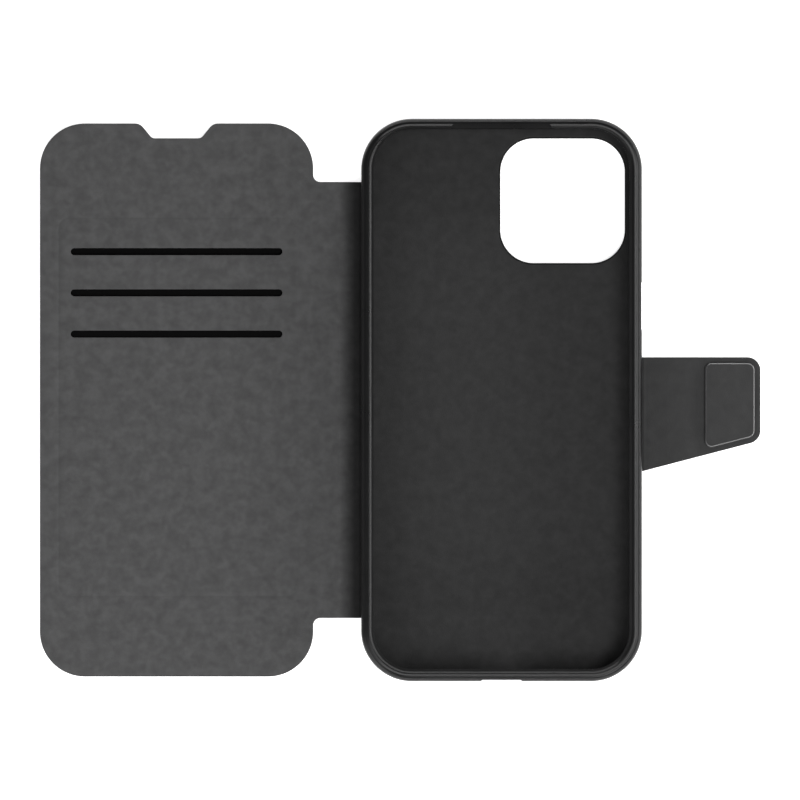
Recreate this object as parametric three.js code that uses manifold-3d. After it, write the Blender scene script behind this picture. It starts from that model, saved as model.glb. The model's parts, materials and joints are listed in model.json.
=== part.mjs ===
// A phone wallet case lying open on its back: a tray for the phone, a folding cover with
// three card slots, and a closing strap with a magnetic tab. Millimetres.
//
// The table is z = 0 and +Z points up out of the phone bay. +X runs from the spine to the
// strap and +Y to the top of the phone. The origin is the centre of the back of the case.

import * as THREE from 'three';
import { mergeVertices } from 'three/addons/utils/BufferGeometryUtils.js';
import Module from 'manifold-3d';

const wasm = await Module();
wasm.setup();

// ---- Driving dimensions -------------------------------------------------------------

const phone = { width: 71.6, height: 147.6, depth: 7.8, corner: 11.6 };
const wall = 2.1;
const lip = { thickness: 0.82, side: 3.43, top: 3.3, bottom: 2.7 };
const skinThickness = 0.6;
const neckLining = 0.48;
const coverBoard = 0.5;
const pocketDepth = 0.7;
const coverLining = 0.54;
const bond = 0.02; // room for the glue between two sheets
const clearance = 0.3; // room round a piece that sits in a cut-out
const overrun = 1; // how far a cutter runs past the face it cuts
const cardSlot = { width: 57.2, height: 1.93, pitch: 11.13 };
const camera = { sideGap: 2.5, topGap: 3.2, size: 33.6, corner: 9, collar: 1.2 };
const coverMargin = { side: 1.0, end: 1.2, corner: 1.55 }; // how much less the cover reaches
const spineMargin = 17; // from the top and bottom of the tray to the neck
const strap = { top: 11.55, rootBottom: -19.3, tipBottom: -10.97, corner: 3.5 };
const tab = { length: 18.65, padWidth: 13.35, thickness: 2.2, border: 1.6, edgeRadius: 0.35 };
const catchPlate = { height: 22.4, corner: 1.5 };

// ---- Sizes worked out from them -----------------------------------------------------

const tray = {
  width: phone.width + 2 * wall,
  height: phone.height + 2 * wall,
  corner: phone.corner + wall,
  floor: 0.8,
};
const edge = tray.width / 2;
const cover = {
  width: tray.width - 2 * coverMargin.side,
  height: tray.height - 2 * coverMargin.end,
  corner: tray.corner - coverMargin.corner,
};
const spineHeight = tray.height - 2 * spineMargin;
const neckThickness = skinThickness + bond + neckLining;

const backBoard = { bottom: skinThickness + bond, thickness: 0.3, inset: 1.9 };
const adhesive = { bottom: backBoard.bottom + backBoard.thickness + bond, thickness: 0.1, inset: 2.5 };
const trayBottom = adhesive.bottom + adhesive.thickness + bond;
const bayFloor = trayBottom + tray.floor;
const floorLining = { bottom: bayFloor + bond, thickness: 0.3, inset: 0.6 };
const bayCeiling = floorLining.bottom + floorLining.thickness + phone.depth;
const trayTop = bayCeiling + lip.thickness;
const midHeight = bayCeiling - phone.depth / 2;

const boardBottom = skinThickness + bond;
const pocketBottom = boardBottom + coverBoard + bond;
const liningBottom = pocketBottom + pocketDepth + bond;
const coverThickness = liningBottom + coverLining;
const foldSlack = 2.15; // the neck is this much longer than the tray is tall
const spineReach = trayTop + foldSlack;
const coverCentre = -(edge + spineReach + cover.width / 2);

// The neck folds along its lining: once beside the tray and once beside the cover. The
// second fold is where the shut cover lies centred, just above the lip of the tray.
const shutGap = 0.2;
const foldOffset = 0.45; // from the side of the tray out to the fold beside it
const spineFold = { x: -(edge + foldOffset), z: neckThickness };
const foldDifference = spineFold.z + spineFold.x - coverThickness - trayTop - shutGap;
const foldSum = spineFold.z - spineFold.x + coverCentre;
const coverFold = { x: (foldSum + foldDifference) / 2, z: (foldSum - foldDifference) / 2 };

// The strap wraps the shut case in the same way, and its tab lies on the cover.
const strapFold = { x: -spineFold.x, z: neckThickness };
const shutTop = trayTop + shutGap + coverThickness;
const tabRest = 0.1;
const tabFold = {
  x: shutTop + tabRest + tab.thickness - 2 * neckThickness + strapFold.x,
  z: neckThickness,
};
const strapTip = edge + shutTop + tab.length;
const padRight = strapTip - tab.border;
const padLeft = padRight - tab.padWidth;
const padMiddle = (padLeft + padRight) / 2;
const strapSlope = (strap.tipBottom - strap.rootBottom) / (strapTip - edge);

const CURVE_STEPS = 4;
const cutCorner = 0.3; // corner of a straight cut end of a sheet

// ---- Outlines -----------------------------------------------------------------------

// A closed outline through corners [x, y, radius], listed anticlockwise. Every corner is
// rounded by an arc that meets both of its sides.
function outline(corners) {
  const shape = new THREE.Shape();
  corners.forEach(([x, y, radius], index) => {
    const corner = new THREE.Vector2(x, y);
    const [beforeX, beforeY] = corners.at(index - 1);
    const [afterX, afterY] = corners[(index + 1) % corners.length];
    const toBefore = new THREE.Vector2(beforeX, beforeY).sub(corner).normalize();
    const toAfter = new THREE.Vector2(afterX, afterY).sub(corner).normalize();
    const halfAngle = Math.acos(toBefore.dot(toAfter)) / 2;
    const inward = toBefore.clone().add(toAfter).normalize();
    const centre = corner.clone().addScaledVector(inward, radius / Math.sin(halfAngle));
    const reach = radius / Math.tan(halfAngle);
    const start = corner.clone().addScaledVector(toBefore, reach).sub(centre);
    const end = corner.clone().addScaledVector(toAfter, reach).sub(centre);
    const hollow = toBefore.cross(toAfter) > 0;
    shape.absarc(centre.x, centre.y, radius, start.angle(), end.angle(), hollow);
  });
  return shape;
}

function roundedRectangle(width, height, radius, x = 0, y = 0) {
  const corner = Math.min(radius, 0.49 * Math.min(width, height));
  return outline([
    [x - width / 2, y - height / 2, corner],
    [x + width / 2, y - height / 2, corner],
    [x + width / 2, y + height / 2, corner],
    [x - width / 2, y + height / 2, corner],
  ]);
}

function trayOutline(inset) {
  return roundedRectangle(tray.width - 2 * inset, tray.height - 2 * inset, tray.corner - inset);
}

function cameraOutline(margin) {
  const size = camera.size + 2 * margin;
  const x = (phone.width - camera.size) / 2 - camera.sideGap;
  const y = (phone.height - camera.size) / 2 - camera.topGap;
  return roundedRectangle(size, size, camera.corner + margin, x, y);
}

// The cover is a rounded rectangle with a speaker notch in the middle of its top edge.
function coverOutline(inset) {
  const notch = { topHalf: 9.85, bottomHalf: 6.6, depth: 4.0, topRadius: 2.8, bottomRadius: 1.7 };
  const lean = Math.atan2(notch.depth, notch.topHalf - notch.bottomHalf);
  const shift = inset * Math.tan(lean / 2);
  const halfWidth = cover.width / 2 - inset;
  const halfHeight = cover.height / 2 - inset;
  const corner = cover.corner - inset;
  return outline([
    [-halfWidth, -halfHeight, corner],
    [halfWidth, -halfHeight, corner],
    [halfWidth, halfHeight, corner],
    [notch.topHalf + shift, halfHeight, notch.topRadius - inset],
    [notch.bottomHalf + shift, halfHeight - notch.depth, notch.bottomRadius + inset],
    [-notch.bottomHalf - shift, halfHeight - notch.depth, notch.bottomRadius + inset],
    [-notch.topHalf - shift, halfHeight, notch.topRadius - inset],
    [-halfWidth, halfHeight, corner],
  ]);
}

// A length of the strap between two x values. Its lower edge slopes up to the tip.
function strapOutline(left, right, inset, leftCorner, rightCorner) {
  const bottom = (x) => strap.rootBottom + strapSlope * (x - edge);
  const slopedInset = inset * Math.hypot(1, strapSlope);
  return outline([
    [left, bottom(left) + slopedInset, leftCorner],
    [right, bottom(right) + slopedInset, rightCorner],
    [right, strap.top - inset, rightCorner],
    [left, strap.top - inset, leftCorner],
  ]);
}

function withHoles(shape, ...holes) {
  shape.holes.push(...holes);
  return shape;
}

// ---- Solids -------------------------------------------------------------------------

function prism(shape, bottom, height) {
  const options = { depth: height, bevelEnabled: false, curveSegments: CURVE_STEPS };
  return new THREE.ExtrudeGeometry(shape, options).translate(0, 0, bottom);
}

// A prism whose two ends are rounded over: each end steps in by `inward` over `down`.
function roundedPrism(shape, bottom, height, inward, down, steps) {
  const options = {
    depth: height - 2 * down,
    bevelSize: inward,
    bevelOffset: -inward,
    bevelThickness: down,
    bevelSegments: steps,
    curveSegments: CURVE_STEPS,
  };
  return new THREE.ExtrudeGeometry(shape, options).translate(0, 0, bottom + down);
}

// Prisms that run along X have outlines drawn in (y, z), and along Y in (z, x).
function prismAlongX(shape, from, length) {
  const turn = new THREE.Matrix4().makeBasis(
    new THREE.Vector3(0, 1, 0),
    new THREE.Vector3(0, 0, 1),
    new THREE.Vector3(1, 0, 0),
  );
  return prism(shape, from, length).applyMatrix4(turn);
}

function prismAlongY(shape, from, length) {
  const turn = new THREE.Matrix4().makeBasis(
    new THREE.Vector3(0, 0, 1),
    new THREE.Vector3(1, 0, 0),
    new THREE.Vector3(0, 1, 0),
  );
  return prism(shape, from, length).applyMatrix4(turn);
}

function solid(geometry) {
  const bare = geometry.clone();
  bare.deleteAttribute('normal');
  bare.deleteAttribute('uv');
  const merged = mergeVertices(bare);
  const mesh = new wasm.Mesh({
    numProp: 3,
    vertProperties: Float32Array.from(merged.attributes.position.array),
    triVerts: Uint32Array.from(merged.index.array),
  });
  return new wasm.Manifold(mesh);
}

function geometryOf(manifold) {
  const mesh = manifold.getMesh();
  const geometry = new THREE.BufferGeometry();
  geometry.setAttribute('position', new THREE.BufferAttribute(mesh.vertProperties, 3));
  geometry.setIndex(new THREE.BufferAttribute(mesh.triVerts, 1));
  geometry.computeVertexNormals();
  return geometry;
}

function joined(first, ...others) {
  return others.reduce((sum, geometry) => sum.add(solid(geometry)), solid(first));
}

function cutBy(manifold, ...cutters) {
  return cutters.reduce((rest, geometry) => rest.subtract(solid(geometry)), manifold);
}

// ---- Materials ----------------------------------------------------------------------

function finish(color, roughness, metalness = 0) {
  return () => new THREE.MeshStandardMaterial({ color, roughness, metalness });
}

const rubber = finish(0x1a1a1b, 0.5);
const buttonRubber = finish(0x161617, 0.42);
const leather = finish(0x1d1d1e, 0.6);
const microfibre = finish(0x4e4e4e, 0.95);
const strapMicrofibre = finish(0x3e3e3e, 0.95);
const pocketFabric = finish(0x101010, 0.9);
const fibreboard = finish(0x8a8378, 0.85);
const foam = finish(0x2c2c2e, 0.95);
const tape = finish(0xd8d8d2, 0.5);
const steel = finish(0xb4b6b8, 0.35, 1);
const nickel = finish(0xc9cacc, 0.22, 1);
const stiffPlastic = finish(0x303236, 0.6);

function part(name, geometry, material, height = 0) {
  const mesh = new THREE.Mesh(geometry, material());
  mesh.name = name;
  mesh.position.z = height;
  return mesh;
}

function sheet(name, shape, bottom, thickness, material) {
  return part(name, prism(shape, 0, thickness), material, bottom);
}

function group(name, ...children) {
  const result = new THREE.Group();
  result.name = name;
  result.add(...children);
  return result;
}

// ---- Tray buttons -------------------------------------------------------------------

const button = {
  stem: { length: 12.0, height: 3.4, corner: 1.6 },
  flange: { length: 14.0, height: 5.0, corner: 2.4, thickness: 0.35 },
  recess: 0.8, // depth of the seat for the flange, from inside the bay
  seatGap: 0.05,
  play: 0.2,
  sunk: 0.2,
};

// The seat and window of a button whose outer face looks along +X.
function buttonCutters(y) {
  const { stem, flange, recess, play } = button;
  const window = roundedRectangle(
    stem.length + 2 * play, stem.height + 2 * play, stem.corner + play, y, midHeight,
  );
  const seat = roundedRectangle(
    flange.length + 2 * play, flange.height + 2 * play, flange.corner + play, y, midHeight,
  );
  const start = phone.width / 2 - overrun;
  return [
    prismAlongX(window, start, wall + 2 * overrun),
    prismAlongX(seat, start, recess + overrun),
  ];
}

// A button cap at its own centre height, with its outer face along +X.
function buttonCap() {
  const { stem, flange, recess, seatGap, sunk } = button;
  const flangeOuter = phone.width / 2 + recess - seatGap;
  const flangeInner = flangeOuter - flange.thickness;
  const stemInner = flangeInner + 0.1; // the stem is rooted inside the flange
  const stemShape = roundedRectangle(stem.length, stem.height, stem.corner);
  const flangeShape = roundedRectangle(flange.length, flange.height, flange.corner);
  const stemSolid = prismAlongX(stemShape, stemInner, edge - sunk - stemInner);
  return geometryOf(joined(stemSolid, prismAlongX(flangeShape, flangeInner, flange.thickness)));
}

function placedButton(name, y, facing) {
  const cap = part(name, buttonCap(), buttonRubber, midHeight);
  cap.position.y = y;
  cap.rotation.z = facing > 0 ? 0 : Math.PI;
  return cap;
}

// Places along the sides, as distances down from the top of the phone.
const down = (distance) => phone.height / 2 - distance;
const sideHeights = {
  power: down(48.45),
  silentSwitch: down(32.8),
  volumeUp: down(46.0),
  volumeDown: down(60.4),
};

// ---- Tray ---------------------------------------------------------------------------

function trayShell() {
  const shoulder = { inward: 1.5, down: 1.9, steps: 5 };
  const bead = { inset: 1.4, width: 1.35, height: 0.35, foot: 0.8, roundness: 0.35 };
  const through = 20;
  const cutterCorner = 0.3;
  const collarBottom = 0.15;

  const bodyBottom = trayBottom - shoulder.down;
  const bodyTop = trayTop - bead.height;
  const body = roundedPrism(
    trayOutline(0), bodyBottom, bodyTop - bodyBottom,
    shoulder.inward, shoulder.down, shoulder.steps,
  );
  const beadRing = roundedPrism(
    withHoles(trayOutline(bead.inset), trayOutline(bead.inset + bead.width)),
    trayTop - bead.foot, bead.foot, bead.roundness, bead.roundness, 3,
  );
  const collar = prism(cameraOutline(camera.collar), collarBottom, bayFloor - collarBottom);
  const belowTray = prism(
    trayOutline(-overrun), bodyBottom - overrun, trayBottom - bodyBottom + overrun,
  );

  const bay = prism(
    roundedRectangle(phone.width, phone.height, phone.corner), bayFloor, bayCeiling - bayFloor,
  );
  const mouthWidth = tray.width - 2 * lip.side;
  const mouthHeight = tray.height - lip.top - lip.bottom;
  const mouthCentre = (lip.bottom - lip.top) / 2;
  const mouthCorner = tray.corner - lip.side;
  const mouth = prism(
    roundedRectangle(mouthWidth, mouthHeight, mouthCorner, 0, mouthCentre), midHeight, through,
  );
  const flare = { out: 0.5, down: 0.35, steps: 3 };
  const mouthFlare = roundedPrism(
    roundedRectangle(
      mouthWidth + 2 * flare.out, mouthHeight + 2 * flare.out, mouthCorner + flare.out,
      0, mouthCentre,
    ),
    bodyTop - flare.down, through, flare.out, flare.down, flare.steps,
  );

  const speakerRecess = { half: 14.45, taper: 1.2, back: 1.4, depth: 1.1 };
  const recessBack = tray.height / 2 - speakerRecess.back;
  const recessFront = tray.height / 2 - lip.top - overrun;
  const speakerCut = prism(
    outline([
      [-speakerRecess.half, recessFront, cutterCorner],
      [speakerRecess.half, recessFront, cutterCorner],
      [speakerRecess.half - speakerRecess.taper, recessBack, cutterCorner],
      [speakerRecess.taper - speakerRecess.half, recessBack, cutterCorner],
    ]),
    trayTop - speakerRecess.depth, through,
  );

  // Shallow scoops that run the full height of the wall, outside the port and the power
  // button. Their ends slope out to the wall.
  const scoopCorner = 0.2;
  const portScoop = { half: 5.95, taper: 0.8, depth: 0.37 };
  const bottomEdge = -tray.height / 2;
  const portScoopCut = prism(
    outline([
      [-portScoop.half - overrun, bottomEdge - overrun, scoopCorner],
      [portScoop.half + overrun, bottomEdge - overrun, scoopCorner],
      [portScoop.half - portScoop.taper, bottomEdge + portScoop.depth, scoopCorner],
      [portScoop.taper - portScoop.half, bottomEdge + portScoop.depth, scoopCorner],
    ]),
    0, through,
  );
  const powerScoop = { half: 7.3, taper: 1.0, depth: 0.16 };
  const scoopFloor = edge - powerScoop.depth;
  const scoopTop = sideHeights.power + powerScoop.half;
  const scoopEnd = sideHeights.power - powerScoop.half;
  const powerScoopCut = prism(
    outline([
      [edge + overrun, scoopEnd - overrun, scoopCorner],
      [edge + overrun, scoopTop + overrun, scoopCorner],
      [scoopFloor, scoopTop - powerScoop.taper, scoopCorner],
      [scoopFloor, scoopEnd + powerScoop.taper, scoopCorner],
    ]),
    0, through,
  );

  const openings = { port: [12, 6.2, 3], speaker: [13, 2.0, 1], silentSwitch: [9.4, 5.0, 2.4] };
  const [portWidth, portHeight, portCorner] = openings.port;
  const port = roundedRectangle(portHeight, portWidth, portCorner, midHeight, 0);
  const [speakerWidth, speakerHeight, speakerCorner] = openings.speaker;
  const speakerCentre = 19;
  const speakers = [-speakerCentre, speakerCentre].map((x) => (
    roundedRectangle(speakerHeight, speakerWidth, speakerCorner, midHeight, x)
  ));
  const bottomCuts = [port, ...speakers].map((shape) => (
    prismAlongY(shape, bottomEdge - overrun, wall + 2 * overrun)
  ));
  const [switchLength, switchHeight, switchCorner] = openings.silentSwitch;
  const switchCut = prismAlongX(
    roundedRectangle(switchLength, switchHeight, switchCorner, sideHeights.silentSwitch, midHeight),
    -edge - overrun, wall + 2 * overrun,
  );

  const halfTurn = new THREE.Matrix4().makeRotationZ(Math.PI);
  const leftButtonCuts = [sideHeights.volumeUp, sideHeights.volumeDown].flatMap((y) => (
    buttonCutters(-y).map((cutter) => cutter.applyMatrix4(halfTurn))
  ));

  const trimmed = cutBy(solid(body), belowTray);
  const withTrim = trimmed.add(solid(beadRing)).add(solid(collar));
  return geometryOf(cutBy(
    withTrim, bay, mouth, mouthFlare, speakerCut, portScoopCut, powerScoopCut,
    prism(cameraOutline(0), -overrun, bayFloor + 2 * overrun), ...bottomCuts, switchCut,
    ...buttonCutters(sideHeights.power), ...leftButtonCuts,
  ));
}

// The thin board that stiffens the back, cut away where the neck and the strap tuck in.
const tuck = { depth: 7.4, thickness: backBoard.thickness };
const tuckEdge = edge - backBoard.inset + 1; // the tucks reach out a little past the board
const tuckCorner = 0.5;

function backBoardOutline() {
  const halfWidth = edge - backBoard.inset;
  const halfHeight = tray.height / 2 - backBoard.inset;
  const corner = tray.corner - backBoard.inset;
  const innerX = tuckEdge - tuck.depth - clearance;
  const spineHalf = spineHeight / 2 + clearance;
  const strapTop = strap.top + clearance;
  const slopeRoom = 0.6; // the sloping edge of the strap runs on lower inside the tray
  const strapBottom = strap.rootBottom - clearance - slopeRoom;
  return outline([
    [-halfWidth, -halfHeight, corner],
    [halfWidth, -halfHeight, corner],
    [halfWidth, strapBottom, tuckCorner],
    [innerX, strapBottom, tuckCorner],
    [innerX, strapTop, tuckCorner],
    [halfWidth, strapTop, tuckCorner],
    [halfWidth, halfHeight, corner],
    [-halfWidth, halfHeight, corner],
    [-halfWidth, spineHalf, tuckCorner],
    [-innerX, spineHalf, tuckCorner],
    [-innerX, -spineHalf, tuckCorner],
    [-halfWidth, -spineHalf, tuckCorner],
  ]);
}

function trayBody() {
  const skinInset = 0.5;
  const liningCameraMargin = 0.5;
  const strapMiddle = (strap.top + strap.rootBottom) / 2;
  const strapHeight = strap.top - strap.rootBottom;
  const tuckX = tuckEdge - tuck.depth / 2;
  return group(
    'tray_body',
    part('tray_shell', trayShell(), rubber),
    sheet(
      'tray_lining',
      withHoles(trayOutline(wall + floorLining.inset), cameraOutline(liningCameraMargin)),
      floorLining.bottom, floorLining.thickness, microfibre,
    ),
    sheet(
      'adhesive_sheet',
      withHoles(trayOutline(adhesive.inset), cameraOutline(camera.collar + clearance)),
      adhesive.bottom, adhesive.thickness, tape,
    ),
    sheet(
      'back_board',
      withHoles(backBoardOutline(), cameraOutline(camera.collar + clearance)),
      backBoard.bottom, backBoard.thickness, fibreboard,
    ),
    sheet(
      'back_skin',
      withHoles(trayOutline(skinInset), cameraOutline(camera.collar + clearance / 2)),
      0, skinThickness, leather,
    ),
    sheet(
      'spine_tuck',
      roundedRectangle(tuck.depth, spineHeight, tuckCorner, -tuckX),
      backBoard.bottom, tuck.thickness, microfibre,
    ),
    sheet(
      'strap_tuck',
      roundedRectangle(tuck.depth, strapHeight, tuckCorner, tuckX, strapMiddle),
      backBoard.bottom, tuck.thickness, strapMicrofibre,
    ),
    placedButton('power_button', sideHeights.power, 1),
    placedButton('volume_up_button', sideHeights.volumeUp, -1),
    placedButton('volume_down_button', sideHeights.volumeDown, -1),
  );
}

// ---- Spine --------------------------------------------------------------------------

// A stiff length of the neck stops short of a fold so that it clears the next piece when
// it folds right back.
const foldBackRoom = neckThickness + 0.1;
const foldRoom = 0.15;

function spineBody() {
  const right = spineFold.x - foldBackRoom;
  const left = coverFold.x + foldRoom;
  const shape = () => roundedRectangle(right - left, spineHeight, cutCorner, (left + right) / 2);
  return group(
    'spine',
    sheet('spine_skin', shape(), 0, skinThickness, leather),
    sheet('spine_lining', shape(), skinThickness + bond, neckLining, microfibre),
  );
}

// ---- Cover --------------------------------------------------------------------------

// The welded pocket reaches above the first slot and to the sides of all of them.
const firstSlot = cover.height / 2 - 34.63;
const weldGap = { top: 9.23, side: 3.75, bottom: 21.8 };
const pocket = {
  x: 0.5,
  top: firstSlot + weldGap.top,
  bottom: weldGap.bottom - cover.height / 2,
  width: cardSlot.width + 2 * weldGap.side,
  corner: 3,
};

function pocketOutline(inset, top) {
  const bottom = pocket.bottom + inset;
  const width = pocket.width - 2 * inset;
  return roundedRectangle(width, top - bottom, pocket.corner - inset, pocket.x, (top + bottom) / 2);
}

function coverBody() {
  const coreInset = 0.35;
  const slotHeights = [0, 1, 2].map((index) => firstSlot - index * cardSlot.pitch);
  const slots = slotHeights.map((y) => (
    roundedRectangle(cardSlot.width, cardSlot.height, cardSlot.height / 2, 0, y)
  ));

  // Each layer of the pocket starts a little above the slot that opens in front of it.
  const layer = 0.2;
  const layerStep = (pocketDepth - layer) / 2;
  const aboveSlot = 3.2;
  const pocketLayer = (name, top, index) => sheet(
    name, pocketOutline(clearance, top), pocketBottom + index * layerStep, layer, pocketFabric,
  );

  // The steel plate lies where the magnets of the tab come to rest on the shut cover.
  const plateX = padMiddle - strapFold.x - tabFold.x;
  const plateY = (strap.top + strap.tipBottom) / 2;
  const plateOutline = (margin) => roundedRectangle(
    tab.padWidth + 2 * margin, catchPlate.height + 2 * margin, catchPlate.corner + margin,
    plateX, plateY,
  );

  const body = group(
    'cover',
    sheet('cover_skin', coverOutline(0), 0, skinThickness, leather),
    sheet(
      'cover_board',
      withHoles(coverOutline(coreInset), plateOutline(clearance)),
      boardBottom, coverBoard, fibreboard,
    ),
    sheet('catch_plate', plateOutline(0), boardBottom, coverBoard, steel),
    sheet(
      'pocket_frame',
      withHoles(coverOutline(coreInset), pocketOutline(0, pocket.top)),
      pocketBottom, pocketDepth, foam,
    ),
    pocketLayer('pocket_backing', pocket.top - clearance, 0),
    pocketLayer('pocket_divider_upper', slotHeights[1] + aboveSlot, 1),
    pocketLayer('pocket_divider_lower', slotHeights[2] + aboveSlot, 2),
    sheet('cover_lining', withHoles(coverOutline(0), ...slots), liningBottom, coverLining, microfibre),
  );
  body.position.x = coverCentre;
  return body;
}

// ---- Strap --------------------------------------------------------------------------

const strapCrease = 0.5;

function strapSide() {
  const left = strapFold.x + clearance;
  const right = tabFold.x - strapCrease;
  const shape = () => strapOutline(left, right, 0, cutCorner, cutCorner);
  return group(
    'strap_side',
    sheet('strap_side_skin', shape(), 0, skinThickness, leather),
    sheet('strap_side_lining', shape(), skinThickness + bond, neckLining, strapMicrofibre),
  );
}

// The lining of the tab rises over the magnets as a flat pad with rounded edges.
function tabLining(left) {
  const bottom = skinThickness + bond;
  const base = prism(strapOutline(left, strapTip, 0, cutCorner, strap.corner), bottom, neckLining);
  const padCorner = { root: 1.8, tip: strap.corner - tab.border };
  const pad = roundedPrism(
    strapOutline(padLeft, padRight, tab.border, padCorner.root, padCorner.tip),
    neckThickness - tab.edgeRadius, tab.thickness - neckThickness + tab.edgeRadius,
    tab.edgeRadius, tab.edgeRadius, 3,
  );
  const room = { side: 0.15, top: 0.08 };
  const hollow = prism(
    carrierOutline(-room.side), bottom - overrun, overrun + magnet.thickness + room.top,
  );
  return geometryOf(cutBy(joined(base, pad), hollow));
}

const magnet = { width: 8.4, height: 8.0, thickness: 0.9, corner: 0.6, upperY: 3.6, lowerY: -5.2 };
const magnetRoom = 0.1;
const carrier = { wall: 1.0, corner: 1.0 };

function carrierOutline(inset) {
  const margin = carrier.wall + inset;
  return strapOutline(
    padLeft + margin, padRight - margin, tab.border + margin, carrier.corner, carrier.corner,
  );
}

function magnetOutline(y, margin) {
  return roundedRectangle(
    magnet.width + 2 * margin, magnet.height + 2 * margin, magnet.corner + margin, padMiddle, y,
  );
}

function strapTab() {
  const left = tabFold.x + strapCrease;
  const bottom = skinThickness + bond;
  const carrierShape = withHoles(
    carrierOutline(0),
    magnetOutline(magnet.upperY, magnetRoom), magnetOutline(magnet.lowerY, magnetRoom),
  );
  return group(
    'strap_tab',
    sheet(
      'strap_tab_skin', strapOutline(left, strapTip, 0, cutCorner, strap.corner),
      0, skinThickness, leather,
    ),
    sheet('magnet_carrier', carrierShape, bottom, magnet.thickness, stiffPlastic),
    sheet('magnet_upper', magnetOutline(magnet.upperY, 0), bottom, magnet.thickness, nickel),
    sheet('magnet_lower', magnetOutline(magnet.lowerY, 0), bottom, magnet.thickness, nickel),
    part('strap_tab_lining', tabLining(left), strapMicrofibre),
  );
}

export default group(
  'phone_wallet_case', trayBody(), spineBody(), coverBody(), strapSide(), strapTab(),
);
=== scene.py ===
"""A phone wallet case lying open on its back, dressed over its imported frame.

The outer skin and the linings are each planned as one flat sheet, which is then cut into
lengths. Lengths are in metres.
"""

import json
import math

import bpy
import numpy as np
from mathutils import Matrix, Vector
from mathutils.geometry import delaunay_2d_cdt


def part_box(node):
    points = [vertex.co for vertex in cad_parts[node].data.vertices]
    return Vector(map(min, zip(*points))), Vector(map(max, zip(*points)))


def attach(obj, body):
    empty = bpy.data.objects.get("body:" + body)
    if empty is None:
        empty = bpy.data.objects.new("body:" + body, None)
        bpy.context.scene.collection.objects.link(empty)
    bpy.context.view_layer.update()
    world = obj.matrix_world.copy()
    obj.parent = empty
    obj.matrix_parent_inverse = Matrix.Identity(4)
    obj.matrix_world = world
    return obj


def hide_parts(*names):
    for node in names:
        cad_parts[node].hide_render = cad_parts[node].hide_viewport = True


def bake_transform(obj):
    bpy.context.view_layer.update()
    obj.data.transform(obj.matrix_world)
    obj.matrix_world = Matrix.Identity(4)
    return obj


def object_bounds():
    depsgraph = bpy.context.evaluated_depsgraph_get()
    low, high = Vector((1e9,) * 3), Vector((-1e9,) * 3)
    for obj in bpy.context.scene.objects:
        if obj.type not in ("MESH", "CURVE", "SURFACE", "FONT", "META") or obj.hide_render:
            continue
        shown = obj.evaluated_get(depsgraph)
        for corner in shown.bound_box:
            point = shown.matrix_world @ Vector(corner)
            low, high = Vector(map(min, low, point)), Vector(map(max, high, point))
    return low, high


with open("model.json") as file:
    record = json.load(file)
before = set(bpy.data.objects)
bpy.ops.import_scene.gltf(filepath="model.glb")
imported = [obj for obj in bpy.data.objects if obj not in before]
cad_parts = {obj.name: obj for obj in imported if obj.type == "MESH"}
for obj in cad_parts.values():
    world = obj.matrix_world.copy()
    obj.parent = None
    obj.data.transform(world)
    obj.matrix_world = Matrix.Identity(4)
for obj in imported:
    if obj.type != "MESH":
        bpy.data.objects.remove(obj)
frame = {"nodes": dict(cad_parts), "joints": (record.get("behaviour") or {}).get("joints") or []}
cad_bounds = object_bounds()

MM = 0.001

# ---- Sizes from the frame ------------------------------------------------------------

shell_low, shell_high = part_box("tray_shell")
back_low, back_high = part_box("back_skin")
cover_low, cover_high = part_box("cover_skin")
lining_low, lining_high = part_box("cover_lining")
neck_low, neck_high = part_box("spine_lining")
neck_tuck_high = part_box("spine_tuck")[1]
strap_low, strap_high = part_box("strap_side_lining")
strap_tuck_low, strap_tuck_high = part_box("strap_tuck")
tab_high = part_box("strap_tab_lining")[1]
carrier_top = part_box("magnet_carrier")[1].z
floor_lining_low, floor_lining_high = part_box("tray_lining")
pocket_low, pocket_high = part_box("pocket_backing")
folds = {joint["name"]: joint.get("pos_m") for joint in frame["joints"]}

edge_x = shell_high.x
edge_y = shell_high.y
wall = 2.1 * MM
tray_corner = 13.7 * MM
skin_top = cover_high.z
glue = 0.02 * MM

spine_fold_x = folds["spine_fold"][0]
cover_fold_x = folds["cover_fold"][0]
strap_fold_x = folds["strap_fold"][0]
tab_fold_x = folds["strap_tab_fold"][0]
neck_middle = (spine_fold_x + cover_fold_x) / 2
strap_middle = (strap_fold_x + tab_fold_x) / 2

camera_corner = 9 * MM
camera_size = 33.6 * MM
camera_side_gap = 2.5 * MM
camera_top_gap = 3.2 * MM
camera_x = edge_x - wall - camera_side_gap - camera_size / 2
camera_y = edge_y - wall - camera_top_gap - camera_size / 2


# ---- Flat outlines -------------------------------------------------------------------


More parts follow.
